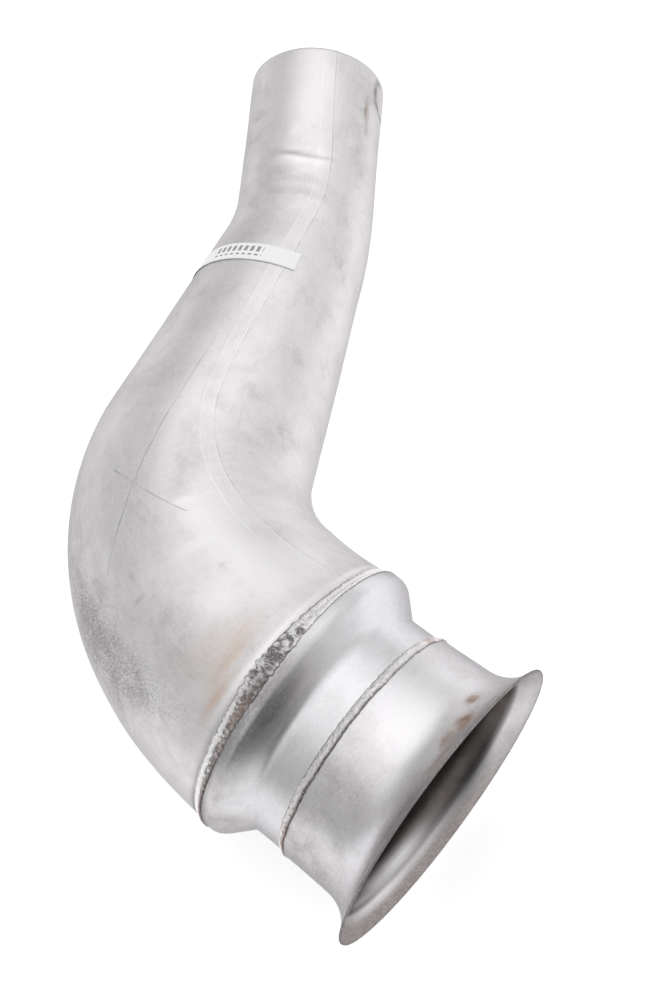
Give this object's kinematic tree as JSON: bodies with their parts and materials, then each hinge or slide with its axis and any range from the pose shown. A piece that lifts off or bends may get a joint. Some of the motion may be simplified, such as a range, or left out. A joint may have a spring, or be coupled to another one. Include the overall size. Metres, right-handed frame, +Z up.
{
  "type": "exhaust pipe",
  "caption": "Steel exhaust pipe: a tapering elbow with a plain tube end, welded to a stepped adapter and a short collar with a wide flared mouth.",
  "frame": {"origin": "on the floor, under the middle of the part's box", "axes": "+Z up as the pipe lies on its flank, +X towards the flared mouth, +Y towards the plain end"},
  "size_m": [0.4614, 0.5104, 0.2121],
  "materials": {
    "pipe_steel": "satin aluminised steel, scuffed and pitted",
    "adapter_steel": "satin, bright",
    "collar_steel": "satin with dirt and rust at the flare",
    "weld_metal": "dark rough weld bead",
    "label_paper": "matt white paper"
  },
  "bodies": {
    "root": {"elbow_pipe": "pipe_steel", "adapter_ring": "adapter_steel", "flared_collar": "collar_steel", "elbow_weld": "weld_metal", "collar_weld": "weld_metal", "paper_label": "label_paper"}
  },
  "joints": []
}
